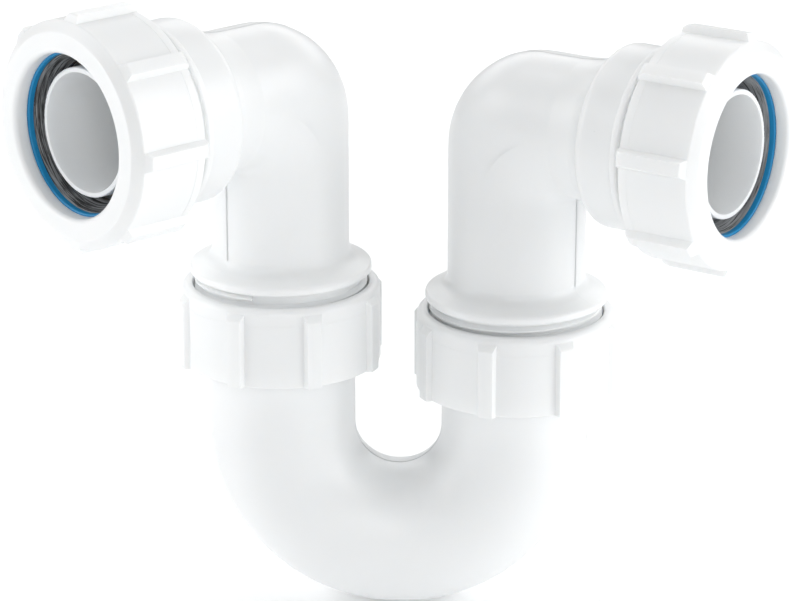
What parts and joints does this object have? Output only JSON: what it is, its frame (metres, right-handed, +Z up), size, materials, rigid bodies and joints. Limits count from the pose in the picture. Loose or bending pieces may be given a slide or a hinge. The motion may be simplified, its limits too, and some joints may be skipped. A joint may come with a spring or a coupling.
{
  "type": "running p trap",
  "caption": "White plastic waste trap: a U bend between swivel elbows, with ribbed union nuts below and ribbed compression sockets for plain pipe at the inlet and the outlet.",
  "frame": {"origin": "on the inlet pipe's axis, at the outer end of the straight wall of the inlet nut's opening", "axes": "+Z up; +X from the inlet leg to the outlet leg of the U bend; the pipe sockets open towards -Y"},
  "size_m": [0.1853, 0.0877, 0.1591],
  "materials": {
    "white_plastic": "white moulded polypropylene with a soft gloss",
    "slip_ring_plastic": "natural plastic, smooth",
    "blue_plastic": "blue moulded plastic, satin",
    "seal_rubber": "black rubber with streaks of lubricant",
    "washer_rubber": "black rubber, matt"
  },
  "bodies": {
    "inlet_elbow": {"inlet_elbow": "white_plastic", "inlet_pipe_seal": "seal_rubber"},
    "bend": {"u_bend": "white_plastic", "inlet_union_washer": "washer_rubber", "outlet_union_washer": "washer_rubber"},
    "outlet_elbow": {"outlet_elbow": "white_plastic", "outlet_pipe_seal": "seal_rubber"},
    "inlet_slip_ring": {"inlet_slip_ring": "slip_ring_plastic"},
    "inlet_union_nut": {"inlet_union_nut": "white_plastic"},
    "inlet_thrust_ring": {"inlet_thrust_ring": "blue_plastic"},
    "inlet_compression_nut": {"inlet_compression_nut": "white_plastic"},
    "outlet_slip_ring": {"outlet_slip_ring": "slip_ring_plastic"},
    "outlet_union_nut": {"outlet_union_nut": "white_plastic"},
    "outlet_thrust_ring": {"outlet_thrust_ring": "blue_plastic"},
    "outlet_compression_nut": {"outlet_compression_nut": "white_plastic"}
  },
  "joints": [
    {"name": "inlet_swivel", "type": "hinge", "parent": "inlet_elbow", "child": "bend", "pos_m": [0.04362, 0.04439, -0.0597], "axis": [0, 0, 1], "range_deg": [-39.5, 130.5]},
    {"name": "outlet_swivel", "type": "hinge", "parent": "bend", "child": "outlet_elbow", "pos_m": [0.10063, 0.04439, -0.0659], "axis": [0, 0, 1], "range_deg": [-53.8, 116.2]},
    {"name": "inlet_union_nut_travel", "type": "slide", "parent": "inlet_elbow", "child": "inlet_slip_ring", "axis": [0, 0, -1], "range_m": [0, 0.00982]},
    {"name": "inlet_union_nut_turn", "type": "hinge", "parent": "inlet_slip_ring", "child": "inlet_union_nut", "pos_m": [0.04362, 0.04439, -0.0585], "axis": [0, 0, -1], "range_deg": [0, 1530]},
    {"name": "outlet_union_nut_travel", "type": "slide", "parent": "outlet_elbow", "child": "outlet_slip_ring", "axis": [0, 0, -1], "range_m": [0, 0.00982]},
    {"name": "outlet_union_nut_turn", "type": "hinge", "parent": "outlet_slip_ring", "child": "outlet_union_nut", "pos_m": [0.10063, 0.04439, -0.0647], "axis": [0, 0, -1], "range_deg": [0, 1530]},
    {"name": "inlet_compression_nut_travel", "type": "slide", "parent": "inlet_elbow", "child": "inlet_thrust_ring", "axis": [-0.7009, -0.7133, 0], "range_m": [0, 0.01201]},
    {"name": "inlet_compression_nut_turn", "type": "hinge", "parent": "inlet_thrust_ring", "child": "inlet_compression_nut", "pos_m": [0, 0, 0], "axis": [-0.7009, -0.7133, 0], "range_deg": [0, 1440]},
    {"name": "outlet_compression_nut_travel", "type": "slide", "parent": "outlet_elbow", "child": "outlet_thrust_ring", "axis": [0.8554, -0.518, 0], "range_m": [0, 0.01201]},
    {"name": "outlet_compression_nut_turn", "type": "hinge", "parent": "outlet_thrust_ring", "child": "outlet_compression_nut", "pos_m": [0.15301, 0.01267, -0.0062], "axis": [0.8554, -0.518, 0], "range_deg": [0, 1440]}
  ],
  "couplings": [
    {"joint": "inlet_union_nut_travel", "follows": "inlet_union_nut_turn", "m_per_rad": 0.00036749},
    {"joint": "outlet_union_nut_travel", "follows": "outlet_union_nut_turn", "m_per_rad": 0.00036749},
    {"joint": "inlet_compression_nut_travel", "follows": "inlet_compression_nut_turn", "m_per_rad": 0.00047746},
    {"joint": "outlet_compression_nut_travel", "follows": "outlet_compression_nut_turn", "m_per_rad": 0.00047746}
  ]
}
